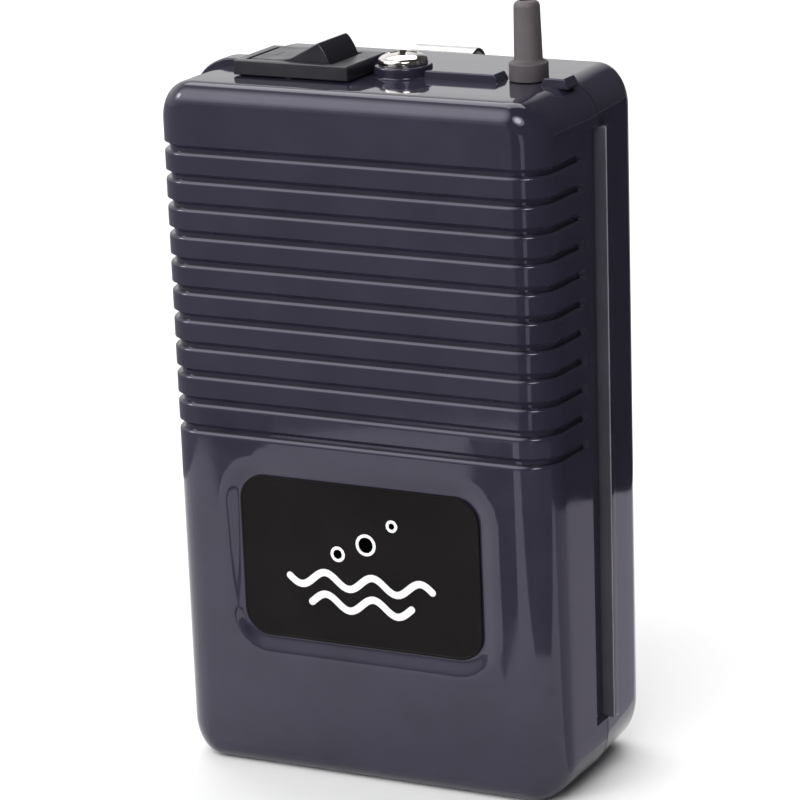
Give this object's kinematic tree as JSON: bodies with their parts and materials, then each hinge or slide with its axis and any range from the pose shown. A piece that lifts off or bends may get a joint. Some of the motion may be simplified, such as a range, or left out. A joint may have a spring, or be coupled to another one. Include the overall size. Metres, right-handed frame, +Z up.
{
  "type": "battery air pump",
  "caption": "Slim upright battery air pump for an aquarium, with a ribbed front, rocker switch, air outlet and belt clip.",
  "frame": {"origin": "middle of the overall box, at the ground", "axes": "+Z up, the ribbed front faces -Y, the switch is at -X and the air outlet at +X"},
  "size_m": [0.0828, 0.0516, 0.1455],
  "materials": {
    "case_plastic": "glossy moulded plastic",
    "switch_plastic": "satin black",
    "nipple_plastic": "matt",
    "label_plate": "smooth printed plate",
    "bright_screw": "polished",
    "plain_steel": "plain",
    "clip_steel": "nickel plated spring steel",
    "contact_brass": "bare",
    "white_plastic": "natural",
    "black_rubber": "matt",
    "cell_sleeve": "plain sleeve, no print",
    "red_wire": "PVC",
    "black_wire": "PVC",
    "clear_hose": "soft PVC"
  },
  "bodies": {
    "case": {"rear_case": "case_plastic", "switch_housing": "switch_plastic", "switch_pivot_pin": "plain_steel", "switch_terminal_left": "contact_brass", "switch_terminal_right": "contact_brass", "outlet_nipple": "nipple_plastic", "air_hose": "clear_hose", "clip_base_plate": "clip_steel", "clip_rivet_left": "plain_steel", "clip_rivet_right": "plain_steel", "battery_left": "cell_sleeve", "battery_right": "cell_sleeve", "battery_deck": "white_plastic", "bridge_contact": "contact_brass", "lower_contact_spring": "plain_steel", "upper_contact_spring": "plain_steel", "positive_contact": "contact_brass", "negative_contact": "contact_brass", "motor_can": "plain_steel", "motor_end_cap": "white_plastic", "motor_terminal_front": "contact_brass", "motor_terminal_rear": "contact_brass", "motor_strap": "plain_steel", "strap_screw_front": "plain_steel", "strap_screw_rear": "plain_steel", "lever_pivot_pin": "plain_steel", "diaphragm": "black_rubber", "pump_chamber": "white_plastic", "outlet_valve_flap": "black_rubber", "intake_valve_flap": "black_rubber", "chamber_cover": "white_plastic", "pump_screw_front": "plain_steel", "pump_screw_rear": "plain_steel", "wire_cell_to_switch": "red_wire", "wire_switch_to_motor": "red_wire", "wire_motor_to_cell": "black_wire"},
    "cover": {"front_cover": "case_plastic", "label_plate": "label_plate", "screw_nut": "plain_steel"},
    "cover_screw": {"cover_screw": "bright_screw"},
    "rocker": {"switch_rocker": "switch_plastic"},
    "clip_arm": {"clip_spring_arm": "clip_steel"},
    "rotor": {"motor_shaft": "plain_steel", "eccentric_wheel": "white_plastic"},
    "lever": {"drive_lever": "white_plastic", "diaphragm_washer": "plain_steel", "diaphragm_screw": "plain_steel"}
  },
  "joints": [
    {"name": "cover_slide", "type": "slide", "parent": "case", "child": "cover", "axis": [0, -1, 0], "range_m": [0, 0.06]},
    {"name": "cover_screw_turn", "type": "hinge", "parent": "cover", "child": "cover_screw", "pos_m": [0.0028, -0.00619, 0.1305], "axis": [0, 0, 1], "continuous": true},
    {"name": "rocker_tilt", "type": "hinge", "parent": "case", "child": "rocker", "pos_m": [-0.0164, -0.00879, 0.1311], "axis": [0, 1, 0], "range_deg": [0, 28]},
    {"name": "clip_flex", "type": "hinge", "parent": "case", "child": "clip_arm", "pos_m": [-0.0035, 0.02239, 0.12677], "axis": [1, 0, 0], "range_deg": [0, 7], "stiffness_Nm_per_rad": 1.5},
    {"name": "motor_spin", "type": "hinge", "parent": "case", "child": "rotor", "pos_m": [0, -0.00429, 0.0855], "axis": [1, 0, 0], "continuous": true},
    {"name": "lever_rock", "type": "hinge", "parent": "case", "child": "lever", "pos_m": [0.033, -0.00429, 0.0855], "axis": [0, 1, 0], "range_deg": [-3, 3], "stiffness_Nm_per_rad": 0.05, "deforming": ["diaphragm"]}
  ]
}
